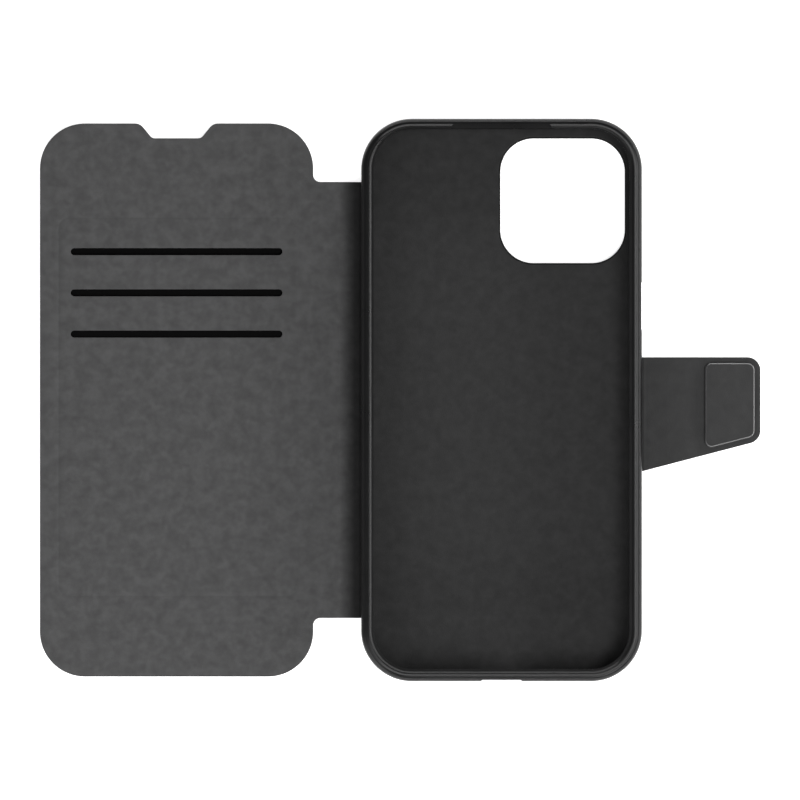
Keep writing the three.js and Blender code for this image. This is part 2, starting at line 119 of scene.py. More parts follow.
def outline(corners, inset=0.0):
    """Points round an anticlockwise outline of (x, y, radius) corners, moved in by inset."""
    longest_step = 0.5 * MM
    fewest_steps, most_steps = 4, 24
    smallest_radius = 0.02 * MM
    points = []
    for index, (x, y, radius) in enumerate(corners):
        corner = Vector((x, y))
        incoming = (corner - Vector(corners[index - 1][:2])).normalized()
        following = corners[(index + 1) % len(corners)]
        outgoing = (Vector(following[:2]) - corner).normalized()
        inward_in = Vector((-incoming.y, incoming.x))
        inward_out = Vector((-outgoing.y, outgoing.x))
        corner += (inward_in + inward_out) * (inset / (1 + inward_in.dot(inward_out)))
        turn = math.atan2(
            incoming.x * outgoing.y - incoming.y * outgoing.x, incoming.dot(outgoing)
        )
        side = math.copysign(1, turn)
        wanted_steps = math.ceil(abs(turn) * radius / longest_step)
        steps = max(fewest_steps, min(most_steps, wanted_steps))
        radius = max(radius - side * inset, smallest_radius)
        centre = corner - incoming * radius * math.tan(abs(turn) / 2) + inward_in * side * radius
        spoke = -inward_in * side * radius
        for step in range(steps + 1):
            angle = turn * step / steps
            points.append(
                (
                    centre.x + spoke.x * math.cos(angle) - spoke.y * math.sin(angle),
                    centre.y + spoke.x * math.sin(angle) + spoke.y * math.cos(angle),
                )
            )
    return points


def rectangle(low_x, low_y, high_x, high_y, radius):
    """The corners of a rectangle, all with one radius."""
    return [
        (low_x, low_y, radius),
        (high_x, low_y, radius),
        (high_x, high_y, radius),
        (low_x, high_y, radius),
    ]


def centred_rectangle(x, y, width, height, radius):
    return rectangle(x - width / 2, y - height / 2, x + width / 2, y + height / 2, radius)


def tray_corners(inset):
    """The outline of the tray, moved in by inset."""
    x = edge_x - inset
    y = edge_y - inset
    return rectangle(-x, -y, x, y, tray_corner - inset)


def camera_corners(margin):
    """The outline of the camera opening, moved out by margin."""
    size = camera_size + 2 * margin
    return centred_rectangle(camera_x, camera_y, size, size, camera_corner + margin)


cover_corner = 12.15 * MM
neck_fillet = 1.9 * MM
neck_bottom = neck_low.y
neck_top = neck_high.y
notch = {
    "top": 9.85 * MM, "bottom": 6.6 * MM, "depth": 4.0 * MM,
    "top_radius": 2.8 * MM, "bottom_radius": 1.7 * MM,
}
cover_x = (cover_low.x + cover_high.x) / 2


def cover_left_corners():
    """The cover from the neck's upper fillet round to its lower one, by the free edge."""
    notch_floor = cover_high.y - notch["depth"]
    return [
        (cover_high.x, neck_top, neck_fillet),
        (cover_high.x, cover_high.y, cover_corner),
        (cover_x + notch["top"], cover_high.y, notch["top_radius"]),
        (cover_x + notch["bottom"], notch_floor, notch["bottom_radius"]),
        (cover_x - notch["bottom"], notch_floor, notch["bottom_radius"]),
        (cover_x - notch["top"], cover_high.y, notch["top_radius"]),
        (cover_low.x, cover_high.y, cover_corner),
        (cover_low.x, cover_low.y, cover_corner),
        (cover_high.x, cover_low.y, cover_corner),
        (cover_high.x, neck_bottom, neck_fillet),
    ]


strap_tip_x = tab_high.x
strap_top_y = tab_high.y
strap_root_y = -19.3 * MM
strap_tip_y = -10.97 * MM
strap_slope = (strap_tip_y - strap_root_y) / (strap_tip_x - edge_x)
strap_corner = 3.5 * MM


def strap_bottom(x):
    """The height of the strap's sloping lower edge at one x."""
    return strap_root_y + strap_slope * (x - edge_x)


# ---- Distances in the plane ----------------------------------------------------------


def distance_to(points, loop):
    """The distance of each point from a closed loop of points."""
    start = np.asarray(loop)
    along = np.roll(start, -1, axis=0) - start
    length_squared = np.maximum((along**2).sum(1), 1e-18)
    nearest = np.full(len(points), np.inf)
    for a, v, length in zip(start, along, length_squared):
        share = np.clip(((points - a) @ v) / length, 0, 1)
        gap = points - a - share[:, None] * v
        nearest = np.minimum(nearest, (gap**2).sum(1))
    return np.sqrt(nearest)


def inside(points, loop):
    """Whether each point lies inside a closed loop, by counting crossings to its right."""
    start = np.asarray(loop)
    end = np.roll(start, -1, axis=0)
    found = np.zeros(len(points), bool)
    for (ax, ay), (bx, by) in zip(start, end):
        if ay == by:
            continue
        crosses = (ay > points[:, 1]) != (by > points[:, 1])
        x = ax + (points[:, 1] - ay) * (bx - ax) / (by - ay)
        found ^= crosses & (points[:, 0] < x)
    return found


def depth_inside(points, loop):
    """The distance from a closed loop, positive inside it and negative outside."""
    return np.where(inside(points, loop), 1, -1) * distance_to(points, loop)


def smooth_step(value, low, high):
    """0 below low, 1 above high, and an S-shaped rise between."""
    share = np.clip((value - low) / (high - low), 0, 1)
    return share * share * (3 - 2 * share)


# ---- Sheets --------------------------------------------------------------------------


def rounding_insets(radius, steps=4):
    """Insets of the lines along which a rounded edge is divided, from the edge inwards."""
    return [radius * (1 - math.cos(math.pi / 2 * step / steps)) for step in range(steps + 1)]


def rounding_drop(depth, radius):
    """How far an edge rounded to this radius lies below the sheet's face."""
    rest = np.clip(radius - depth, 0, radius)
    return radius - np.sqrt(radius**2 - rest**2)


class Plan:
    """A flat sheet split into triangles, with lines where its relief or its folds need them."""

    def __init__(self, corners, holes=(), loops=(), lines=(), spacing=2 * MM, rounding=0.15 * MM):
        self.edge = outline(corners)
        self.holes = [outline(hole) for hole in holes]
        rings = [outline(corners, inset) for inset in rounding_insets(rounding)]
        rings += [outline(hole, -inset) for hole in holes for inset in rounding_insets(rounding)]
        rings += loops
        points, edges = [], []
        for ring in rings:
            first = len(points)
            points += ring
            edges += [(first + i, first + (i + 1) % len(ring)) for i in range(len(ring))]
        for start, end in lines:
            edges.append((len(points), len(points) + 1))
            points += [start, end]
        points += self.filling(rings, lines, spacing)
        weld = 0.0001 * MM
        made = delaunay_2d_cdt([Vector(p) for p in points], edges, [], 0, weld)
        self.points = np.array([tuple(p) for p in made[0]])
        triangles = np.array(made[2])
        centres = self.points[triangles].mean(axis=1)
        keep = inside(centres, self.edge)
        for hole in self.holes:
            keep &= ~inside(centres, hole)
        self.triangles = triangles[keep]
        self.centres = centres[keep]
        nearest = [distance_to(self.points, loop) for loop in [self.edge, *self.holes]]
        self.depth = np.min(nearest, axis=0)
        self.x, self.y = self.points.T

    @staticmethod
    def filling(rings, lines, spacing):
        """Points of a triangular grid that keep clear of the rings and the lines."""
        clear = 0.4 * spacing
        low = np.min(rings[0], axis=0)
        high = np.max(rings[0], axis=0)
        rows = np.arange(low[1], high[1], spacing * math.sqrt(3) / 2)
        columns = np.arange(low[0], high[0], spacing)
        grid = np.array(
            [(x + spacing / 2 * (row % 2), y) for row, y in enumerate(rows) for x in columns]
        )
        grid = grid[inside(grid, rings[0])]
        for ring in rings:
            grid = grid[distance_to(grid, ring) > clear]
        for start, end in lines:
            grid = grid[distance_to(grid, [start, end]) > clear]
        return [tuple(p) for p in grid]


def upright(x, low, high):
    """A line across a sheet at one x, run on a little past both of its edges."""
    beyond = MM
    return ((x, low - beyond), (x, high + beyond))


def fold_lines(start, end, low, high, count=8):
    """Lines across a fold, which divide the sheet there in small steps."""
    return [
        upright(start + (end - start) * step / count, low, high) for step in range(count + 1)
    ]


def new_object(name, mesh):
    made = bpy.data.objects.new(name, mesh)
    bpy.context.scene.collection.objects.link(made)
    return made


def smooth(mesh, sharpest=40):
    """Smooth shading, broken at edges that turn by more than this many degrees."""
    mesh.shade_smooth()
    mesh.set_sharp_from_angle(angle=math.radians(sharpest))


def sheet_piece(name, plan, top, bottom, material, from_x=-math.inf, to_x=math.inf):
    """The length of a sheet between two x values as a closed solid."""
    keep = (plan.centres[:, 0] > from_x) & (plan.centres[:, 0] < to_x)
    used, triangles = np.unique(plan.triangles[keep], return_inverse=True)
    triangles = triangles.reshape(-1, 3)
    count = len(used)
    flat = plan.points[used]
    upper = np.column_stack([flat, top[used]])
    lower = np.column_stack([flat, bottom[used]])
    sides = {(a, b) for t in triangles for a, b in zip(t, np.roll(t, -1))}
    walls = [
        (a, a + count, b + count, b) for a, b in sorted(sides) if (b, a) not in sides
    ]
    faces = [tuple(t) for t in triangles]
    faces += [tuple(t[::-1] + count) for t in triangles]
    faces += walls
    mesh = bpy.data.meshes.new(name)
    mesh.from_pydata(np.vstack([upper, lower]).tolist(), [], faces)
    chart = mesh.uv_layers.new(name="cut")
    corners = np.zeros(len(mesh.loops), np.int32)
    mesh.loops.foreach_get("vertex_index", corners)
    chart.data.foreach_set("uv", np.vstack([flat, flat])[corners].ravel().astype(np.float32))
    smooth(mesh)
    mesh.materials.append(material)
    piece = new_object(name, mesh)
    return piece


# ---- Swept rims and cutters ----------------------------------------------------------


def swept_rings(rings, closed_tube):
    """A mesh through rings of (x, y, z) points, capped at both ends or closed on itself."""
    count = len(rings[0])
    vertices = [point for ring in rings for point in ring]
    faces = []
    last = len(rings) if closed_tube else len(rings) - 1
    for ring in range(last):
        here = ring * count
        there = (ring + 1) % len(rings) * count
        for i in range(count):
            j = (i + 1) % count
            faces.append((here + i, here + j, there + j, there + i))
    if not closed_tube:
        faces.append(tuple(reversed(range(count))))
        faces.append(tuple(range(len(vertices) - count, len(vertices))))
    return vertices, faces


def mesh_object(name, vertices, faces, material=None, sharpest=40):
    mesh = bpy.data.meshes.new(name)
    mesh.from_pydata(vertices, [], faces)
    if material:
        mesh.materials.append(material)
    smooth(mesh, sharpest)
    return new_object(name, mesh)


def prism(corners, axis, start, end):
    """A prism along an axis. Its outline is drawn in the next two axes, in their order."""
    flat = outline(corners)
    rings = []
    for level in (start, end):
        ring = []
        for u, v in flat:
            point = [0.0, 0.0, 0.0]
            point[axis] = level
            point[(axis + 1) % 3] = u
            point[(axis + 2) % 3] = v
            ring.append(tuple(point))
        rings.append(ring)
    return mesh_object("cutter", *swept_rings(rings, closed_tube=False))


def cut(piece, cutters):
    """Takes the cutters out of the piece, for good, and removes them."""
    for cutter in cutters:
        modifier = piece.modifiers.new("cut", "BOOLEAN")
        modifier.operation = "DIFFERENCE"
        modifier.solver = "EXACT"
        modifier.object = cutter
    shape = piece.evaluated_get(bpy.context.evaluated_depsgraph_get())
    mesh = bpy.data.meshes.new_from_object(shape)
    piece.modifiers.clear()
    piece.data = mesh
    for cutter in cutters:
        bpy.data.meshes.remove(cutter.data)


def soften_edges(piece, width, segments, angle=50):
    """Rounds the edges that turn by more than this many degrees."""
    bevel = piece.modifiers.new("soft_edges", "BEVEL")
    bevel.width = width
    bevel.segments = segments
    bevel.limit_method = "ANGLE"
    bevel.angle_limit = math.radians(angle)
    bevel.harden_normals = True


# ---- Materials -----------------------------------------------------------------------


class Surface:
    """A Principled material, with short calls that add patterns to it."""

    def __init__(self, name, color, roughness, metallic=0.0, sheet=False, **constants):
        self.material = bpy.data.materials.new(name)
        self.material.use_nodes = True
        self.tree = self.material.node_tree
        self.shader = self.tree.nodes["Principled BSDF"]
        self.color = color
        self.shader.inputs["Base Color"].default_value = (*color, 1)
        self.shader.inputs["Roughness"].default_value = roughness
        self.shader.inputs["Metallic"].default_value = metallic
        for socket, value in constants.items():
            self.shader.inputs[socket.replace("_", " ")].default_value = value
        if sheet:
            place = self.tree.nodes.new("ShaderNodeUVMap")
            place.uv_map = "cut"
            self.place = place.outputs["UV"]
        else:
            self.place = self.tree.nodes.new("ShaderNodeTexCoord").outputs["Object"]

    def link(self, output, socket):
        self.tree.links.new(output, socket)

    def stretched(self, scale):
        """The place on the surface with each direction scaled, for streaks and threads."""
        mapping = self.tree.nodes.new("ShaderNodeMapping")
        mapping.inputs["Scale"].default_value = scale
        self.link(self.place, mapping.inputs["Vector"])
        return mapping.outputs["Vector"]

    def axis(self, name):
        """One coordinate of the place on the surface."""
        node = self.tree.nodes.new("ShaderNodeSeparateXYZ")
        self.link(self.place, node.inputs["Vector"])
        return node.outputs[name]

    def noise(self, size, detail=2.0, place=None, distortion=0.0):
        node = self.tree.nodes.new("ShaderNodeTexNoise")
        node.inputs["Scale"].default_value = 1 / size
        node.inputs["Detail"].default_value = detail
        node.inputs["Distortion"].default_value = distortion
        self.link(place or self.place, node.inputs["Vector"])
        return node.outputs["Fac"]

    def cells(self, size, feature="F1"):
        node = self.tree.nodes.new("ShaderNodeTexVoronoi")
        node.feature = feature
        node.inputs["Scale"].default_value = 1 / size
        self.link(self.place, node.inputs["Vector"])
        return node.outputs["Distance"]

    def threads(self, size, direction):
        node = self.tree.nodes.new("ShaderNodeTexWave")
        node.bands_direction = direction
        node.inputs["Scale"].default_value = 1 / size / math.pi
        node.inputs["Distortion"].default_value = 0.6
        node.inputs["Detail Scale"].default_value = 2.0
        self.link(self.place, node.inputs["Vector"])
        return node.outputs["Fac"]

    def spread(self, value, low, high, to_low, to_high):
        """value from low..high mapped to to_low..to_high."""
        node = self.tree.nodes.new("ShaderNodeMapRange")
        for name, number in zip(
            ("From Min", "From Max", "To Min", "To Max"), (low, high, to_low, to_high)
        ):
            node.inputs[name].default_value = number
        self.link(value, node.inputs["Value"])
        return node.outputs["Result"]

    def mixed(self, a, b, operation="ADD"):
        node = self.tree.nodes.new("ShaderNodeMath")
        node.operation = operation
        self.link(a, node.inputs[0])
        if isinstance(b, (int, float)):
            node.inputs[1].default_value = b
        else:
            self.link(b, node.inputs[1])
        return node.outputs["Value"]

    def tint(self, factor):
        """The base colour multiplied by a factor that varies over the surface."""
        node = self.tree.nodes.new("ShaderNodeVectorMath")
        node.operation = "SCALE"
        node.inputs[0].default_value = self.color
        self.link(factor, node.inputs["Scale"])
        self.link(node.outputs["Vector"], self.shader.inputs["Base Color"])

    def rough(self, value):
        self.link(value, self.shader.inputs["Roughness"])

    def bump(self, height, distance, strength=1.0):
        node = self.tree.nodes.new("ShaderNodeBump")
        node.inputs["Distance"].default_value = distance
        node.inputs["Strength"].default_value = strength
        self.link(height, node.inputs["Height"])
        self.link(node.outputs["Normal"], self.shader.inputs["Normal"])


def microfibre(name, grey, clouding, painted_tray_shadow=False):
    """Brushed microfibre: cloudy patches from the lie of the nap over a fine fibrous grain."""
    surface = Surface(
        name, (grey, grey, grey * 1.01), 0.95, sheet=True,
        Sheen_Weight=0.2, Sheen_Roughness=0.45, Specular_IOR_Level=0.15,
    )
    clouds = surface.noise(3.6 * MM, detail=1.0, distortion=0.3)
    patches = surface.noise(1.5 * MM, detail=1.0)
    fibres = surface.noise(0.16 * MM, detail=3.0)
    streaks = surface.noise(0.2 * MM, place=surface.stretched((1.0, 0.3, 1.0)))
    shade = surface.mixed(
        surface.spread(clouds, 0.3, 0.7, 1 - clouding, 1 + clouding),
        surface.spread(patches, 0.3, 0.7, 1 - clouding / 2, 1 + clouding / 2),
        "MULTIPLY",
    )
    shade = surface.mixed(shade, surface.spread(fibres, 0.3, 0.7, 0.86, 1.14), "MULTIPLY")
    if painted_tray_shadow:
        # Painted shadow: the neck is painted darker towards the tray, where the tray's wall shades
        # it.
        x = surface.axis("X")
        shade = surface.mixed(
            shade, surface.spread(x, neck_middle, neck_high.x, 1.0, 0.34), "MULTIPLY"
        )
    surface.tint(shade)
    nap = surface.mixed(surface.mixed(fibres, streaks), surface.mixed(clouds, 0.8, "MULTIPLY"))
    surface.bump(nap, 0.05 * MM, 0.6)
    return surface.material


def grained_skin(name):
    """Black imitation leather with a fine pebbled grain."""
    surface = Surface(name, (0.014, 0.014, 0.015), 0.5, sheet=True, Specular_IOR_Level=0.45)
    pebbles = surface.cells(0.75 * MM)
    creases = surface.noise(0.5 * MM, detail=4.0, distortion=1.2)
    tone = surface.noise(6 * MM, detail=2.0)
    surface.tint(surface.spread(tone, 0.3, 0.7, 0.85, 1.15))
    surface.rough(surface.spread(creases, 0.3, 0.7, 0.42, 0.6))
    relief = surface.mixed(surface.spread(pebbles, 0.0, 0.8, 1.0, 0.0), creases)
    surface.bump(relief, 0.08 * MM, 0.8)
    return surface.material


def moulded_rubber(name, tone, roughness):
    """Black moulded rubber with a faint satin texture."""
    surface = Surface(name, (tone, tone, tone * 1.04), roughness, Specular_IOR_Level=0.24)
    cloud = surface.noise(9 * MM, detail=2.0)
    speckle = surface.noise(0.09 * MM, detail=1.0)
    surface.tint(surface.spread(cloud, 0.3, 0.7, 0.9, 1.1))
    surface.rough(surface.spread(cloud, 0.3, 0.7, roughness - 0.02, roughness + 0.02))
    surface.bump(speckle, 0.006 * MM, 0.4)
    return surface.material


def woven_cloth(name, grey):
    """Thin plain-woven cloth, as lines the pockets."""
    surface = Surface(name, (grey, grey, grey), 0.95, Specular_IOR_Level=0.02)
    across = surface.threads(0.35 * MM, "X")
    along = surface.threads(0.35 * MM, "Y")
    weave = surface.mixed(across, along, "MAXIMUM")
    surface.tint(surface.spread(weave, 0.0, 1.0, 0.6, 1.15))
    surface.bump(weave, 0.05 * MM, 0.7)
    return surface.material


def pressed_board(name):
    """Grey-brown pressed fibreboard with long flecks."""
    surface = Surface(name, (0.25, 0.22, 0.18), 0.85)
    flecks = surface.noise(0.5 * MM, detail=4.0, place=surface.stretched((1.0, 0.35, 1.0)))
    surface.tint(surface.spread(flecks, 0.3, 0.7, 0.75, 1.2))
    surface.bump(flecks, 0.03 * MM, 0.5)
    return surface.material


def closed_foam(name):
    """Black closed-cell foam."""
    surface = Surface(name, (0.02, 0.02, 0.022), 0.9)
    pores = surface.cells(0.3 * MM)
    surface.tint(surface.spread(pores, 0.0, 0.6, 0.6, 1.2))
    surface.bump(pores, 0.06 * MM, 0.7)
    return surface.material


def adhesive_film(name):
    """Milky double-sided tape with slight ripples."""
    surface = Surface(name, (0.68, 0.68, 0.64), 0.35)
    ripple = surface.noise(4 * MM, detail=1.0)
    surface.rough(surface.spread(ripple, 0.3, 0.7, 0.28, 0.45))
    surface.bump(ripple, 0.02 * MM, 0.4)
    return surface.material


def rolled_metal(name, color, roughness, grain):
    """Bare metal whose fine lines are stretched by the scale of its grain."""
    surface = Surface(name, color, roughness, metallic=1.0)
    lines = surface.noise(0.4 * MM, detail=3.0, place=surface.stretched(grain))
    surface.tint(surface.spread(lines, 0.3, 0.7, 0.92, 1.06))
    surface.rough(surface.spread(lines, 0.3, 0.7, roughness - 0.06, roughness + 0.08))
    surface.bump(lines, 0.004 * MM, 0.5)
    return surface.material


def moulded_plastic(name):
    """Dark grey moulded plastic with a fine spark grain."""
    surface = Surface(name, (0.03, 0.032, 0.036), 0.55)
    grain = surface.noise(0.25 * MM, detail=2.0)
    surface.rough(surface.spread(grain, 0.3, 0.7, 0.48, 0.62))
    surface.bump(grain, 0.01 * MM, 0.5)
    return surface.material


def edge_paint(name):
    """The flexible paint that seals the cut edge of the cover."""
    surface = Surface(name, (0.012, 0.012, 0.013), 0.42)
    ripple = surface.noise(1.5 * MM, detail=2.0)
    surface.rough(surface.spread(ripple, 0.3, 0.7, 0.36, 0.5))
    surface.bump(ripple, 0.03 * MM, 0.5)
    return surface.material


def sealed_bead(name):
    """The melted, satin edge of a heat-sealed pad."""
    surface = Surface(name, (0.03, 0.03, 0.031), 0.28, Specular_IOR_Level=1.0)
    ripple = surface.noise(0.8 * MM, detail=2.0)
    surface.tint(surface.spread(ripple, 0.3, 0.7, 0.85, 1.15))
    surface.rough(surface.spread(ripple, 0.3, 0.7, 0.3, 0.4))
    surface.bump(ripple, 0.02 * MM, 0.4)
    return surface.material


# The cover's cloth carries a painted shadow on the neck beside the tray.
cover_cloth = microfibre("cover_microfibre", 0.06, 0.125, painted_tray_shadow=True)
tray_cloth = microfibre("tray_microfibre", 0.024, 0.1)
# The strap's microfibre has its grey painted darker than the cover's: painted shade for the light
# falling off towards the strap.
strap_cloth_painted_shade = microfibre("strap_microfibre", 0.0365, 0.07)
skin = grained_skin("grained_skin")
rubber = moulded_rubber("tray_rubber", 0.0065, 0.29)
button_rubber = moulded_rubber("button_rubber", 0.006, 0.3)
paint = edge_paint("edge_paint")
bead_finish = sealed_bead("sealed_bead")

# ---- Outer skin ----------------------------------------------------------------------

seam_x = -4 * MM
back_corner = tray_corner - (edge_x - back_high.x)
neck_root_fillet = 0.5 * MM
strap_root_fillet = 0.8 * MM
skin_corners = [
    *cover_left_corners(),
    (back_low.x, neck_bottom, neck_root_fillet),
    (back_low.x, back_low.y, back_corner),
    (back_high.x, back_low.y, back_corner),
    (back_high.x, strap_bottom(back_high.x), strap_root_fillet),
    (strap_tip_x, strap_tip_y, strap_corner),
    (strap_tip_x, strap_top_y, strap_corner),
    (back_high.x, strap_top_y, strap_root_fillet),
    (back_high.x, back_high.y, back_corner),
    (back_low.x, back_high.y, back_corner),
    (back_low.x, neck_top, neck_root_fillet),
]

# Where each fold of the sheets starts and ends, from the still body to the moving one.
spine_bend = (spine_fold_x + 0.1 * MM, spine_fold_x - 2.8 * MM)
cover_bend = (cover_fold_x + 1.6 * MM, cover_fold_x - 1.3 * MM)
strap_bend = (strap_fold_x - 0.1 * MM, strap_fold_x + 2.8 * MM)
tab_bend = (tab_fold_x - 1.5 * MM, tab_fold_x + 1.5 * MM)


def bend(piece):
    """Bakes a sheet piece's placement into its mesh."""
    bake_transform(piece)


def outer_skin():
    """The one sheet that covers the whole outside, with its opening for the camera."""
    rounding = 0.25 * MM
    collar_margin = 1.35 * MM
    lines = [
        upright(seam_x, back_low.y, back_high.y),
        upright(neck_middle, neck_bottom, neck_top),
        upright(strap_middle, strap_root_y, strap_top_y),
        *fold_lines(*spine_bend, neck_bottom, neck_top),
        *fold_lines(*cover_bend, neck_bottom, neck_top),
        *fold_lines(*strap_bend, strap_root_y, strap_top_y),
        *fold_lines(*tab_bend, strap_root_y, strap_top_y),
    ]
    plan = Plan(
        skin_corners, holes=[camera_corners(collar_margin)], lines=lines,
        spacing=3 * MM, rounding=rounding,
    )
    top = np.full(len(plan.x), skin_top)
    bottom = cover_low.z + rounding_drop(plan.depth, rounding)

    def length(name, from_x, to_x):
        return sheet_piece(name, plan, top, bottom, skin, from_x, to_x)

    cover = length("skin_cover", -math.inf, neck_middle)
    back_left = length("skin_back_left", neck_middle, seam_x)
    back_right = length("skin_back_right", seam_x, strap_middle)
    tip = length("skin_strap_tip", strap_middle, math.inf)
    bend(cover)
    bend(back_left)
    bend(back_right)
    bend(tip)
    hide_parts("cover_skin")
    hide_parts("spine_skin")
    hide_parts("back_skin")
    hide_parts("strap_side_skin", "strap_tab_skin")


# ---- Cover lining --------------------------------------------------------------------


slot_count = 3


def slot_corners(index):
    """One card slot, counted down from the first."""
    width, height, pitch = 57.2 * MM, 1.93 * MM, 11.13 * MM
    first = cover_high.y - 34.63 * MM
    return centred_rectangle(cover_x, first - index * pitch, width, height, 0.49 * height)


def cover_lining():
    """The lining of the cover and the neck, with card slots and the weld round the pocket."""
    rounding = 0.16 * MM
    weld_width = 1.2 * MM
    weld_depth = 0.14 * MM
    weld_gap = 0.3 * MM
    weld_corners = rectangle(
        pocket_low.x - weld_gap, pocket_low.y - weld_gap,
        pocket_high.x + weld_gap, pocket_high.y + weld_gap, 3 * MM,
    )
    weld = outline(weld_corners)
    tuck_start, tuck_end = -edge_x - 0.6 * MM, -edge_x
    corners = [
        *cover_left_corners(),
        (neck_tuck_high.x, neck_bottom, 0.3 * MM),
        (neck_tuck_high.x, neck_top, 0.3 * MM),
    ]
    lines = [
        upright(neck_middle, neck_bottom, neck_top),
        upright(tuck_end, neck_bottom, neck_top),
        upright(tuck_start, neck_bottom, neck_top),
        *fold_lines(*spine_bend, neck_bottom, neck_top),
        *fold_lines(*cover_bend, neck_bottom, neck_top),
    ]
    plan = Plan(
        corners, holes=[slot_corners(index) for index in range(slot_count)],
        loops=[
            outline(weld_corners, share * weld_width) for share in (-0.5, -0.25, 0.0, 0.25, 0.5)
        ],
        lines=lines, spacing=1.8 * MM, rounding=rounding,
    )
    # The lining comes down from the thick cover to the thin neck before the fold beside
    # the tray, and its end is tucked flat under the tray.
    descent = smooth_step(plan.x, cover_high.x - 3 * MM, neck_middle + 0.3 * MM)
    tucked = smooth_step(plan.x, tuck_start, tuck_end)
    face = lining_high.z + (neck_high.z - lining_high.z) * descent
    face += (neck_tuck_high.z - neck_high.z) * tucked
    groove = weld_depth * (1 - smooth_step(distance_to(plan.points, weld), 0, weld_width / 2))
    top = face - groove - rounding_drop(plan.depth, rounding)
    back = smooth_step(plan.x, cover_high.x - 0.5 * MM, cover_high.x - 0.1 * MM)
    bottom = lining_low.z + (neck_low.z - lining_low.z) * back

    cover = sheet_piece(
        "lining_cover", plan, top, bottom, cover_cloth, to_x=neck_middle
    )
    neck = sheet_piece(
        "lining_neck", plan, top, bottom, cover_cloth, from_x=neck_middle
    )
    bend(cover)
    bend(neck)
    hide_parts("cover_lining")
    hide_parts("spine_lining", "spine_tuck")


def cover_edge():
    """The painted edge of the cover's core, which swells a little between skin and lining."""
    corners = cover_left_corners()[1:-1]
    overlap, swell = 0.05 * MM, 0.1 * MM
    edge_inset, inner_inset = 0.16 * MM, 0.5 * MM
    low, high = skin_top - overlap, lining_low.z + overlap
    profile = [(inner_inset, low)]
    steps = 6
    for step in range(steps + 1):
        inset = edge_inset - swell * math.sin(math.pi * step / steps)
        profile.append((inset, low + (high - low) * step / steps))
    profile.append((inner_inset, high))
    rings = [[(x, y, z) for x, y in outline(corners, inset)] for inset, z in profile]
    piece = mesh_object("cover_edge", *swept_rings(rings, closed_tube=True), paint)
    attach(piece, "cover")


# ---- Strap lining --------------------------------------------------------------------


def strap_corners(left, right, inset, left_corner, right_corner):
    """A length of the strap between two x values, moved in by inset at top and bottom."""
    sloped = inset * math.hypot(1, strap_slope)
    return [
        (left, strap_bottom(left) + sloped, left_corner),
        (right, strap_bottom(right) + sloped, right_corner),
        (right, strap_top_y - inset, right_corner),
        (left, strap_top_y - inset, left_corner),
    ]


def strap_lining():
    """The lining of the strap, which rises over the magnets as a flat pad."""
    rounding = 0.16 * MM
    border = 1.6 * MM
    pad_left = 55 * MM
    pad_right = strap_tip_x - border
    pad_corners = strap_corners(pad_left, pad_right, border, 1.8 * MM, strap_corner - border)
    pad = outline(pad_corners)
    ramp = 0.32 * MM
    crown_height, crown_ramp = 0.12 * MM, 6 * MM
    carrier_room = 0.85 * MM
    corners = strap_corners(strap_tuck_low.x, strap_tip_x, 0, 0.3 * MM, strap_corner)
    crease_x, crease_depth, crease_width = edge_x + 1.2 * MM, 0.05 * MM, 0.25 * MM
    tuck_end, tuck_start = edge_x, edge_x + 0.6 * MM
    lines = [
        upright(strap_middle, strap_root_y, strap_top_y),
        upright(tuck_end, strap_root_y, strap_top_y),
        upright(tuck_start, strap_root_y, strap_top_y),
        *fold_lines(*strap_bend, strap_root_y, strap_top_y),
        *fold_lines(*tab_bend, strap_root_y, strap_top_y),
    ]
    shares = (-0.2, 0.0, 0.2, 0.4, 0.6, 0.8, 1.0, 1.3)
    room_edge = (carrier_room, carrier_room + 0.1 * MM)
    plan = Plan(
        corners, loops=[
            *[outline(pad_corners, share * ramp) for share in shares],
            *[outline(pad_corners, inset) for inset in room_edge],
        ],
        lines=lines, spacing=1.2 * MM, rounding=rounding,
    )
    in_pad = depth_inside(plan.points, pad)
    rise = smooth_step(in_pad, 0, ramp)
    crown = crown_height * smooth_step(in_pad, ramp, crown_ramp)
    tucked = 1 - smooth_step(plan.x, tuck_end, tuck_start)
    crease = crease_depth * np.exp(-(((plan.x - crease_x) / crease_width) ** 2))
    pad_height = tab_high.z - strap_high.z - 0.1 * MM
    top = strap_high.z + rise * pad_height + crown - crease
    top -= (strap_high.z - strap_tuck_high.z) * tucked
    top -= rounding_drop(plan.depth, rounding)
    over_carrier = carrier_top + 0.06 * MM - strap_low.z
    bottom = strap_low.z + over_carrier * smooth_step(in_pad, *room_edge)

    root = sheet_piece(
        "lining_strap_root", plan, top, bottom, strap_cloth_painted_shade, to_x=strap_middle
    )
    tip = sheet_piece(
        "lining_strap_tip", plan, top, bottom, strap_cloth_painted_shade, from_x=strap_middle
    )
    bend(root)
    bend(tip)
    # The pad's edge is heat sealed to a fine satin chamfer.
    seal_foot = tab_high.z - 0.3 * MM
    seal_head = seal_foot + 0.18 * MM
    seal_base = seal_foot - 0.1 * MM
    chamfer, seal_width = 0.23 * MM, 0.4 * MM
    section = [
        (0.0, seal_foot), (chamfer, seal_head), (seal_width, seal_head),
        (seal_width, seal_base), (0.0, seal_base),
    ]
    rings = [[(x, y, z) for x, y in outline(pad_corners, inset)] for inset, z in section]
    seal = mesh_object(
        "pad_seal", *swept_rings(rings, closed_tube=True), bead_finish, sharpest=25
    )
    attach(seal, "strap_tab")
    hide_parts("strap_side_lining", "strap_tuck")
    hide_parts("strap_tab_lining")


# ---- Tray ----------------------------------------------------------------------------

tray_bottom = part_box("adhesive_sheet")[1].z + glue
bay_floor = floor_lining_low.z - glue
tray_top = shell_high.z
lip_thickness = 0.82 * MM
lip_reach = {"side": 3.43 * MM, "top": 3.3 * MM, "bottom": 2.7 * MM}
bay_ceiling = tray_top - lip_thickness
mid_height = sum(point.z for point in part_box("power_button")) / 2


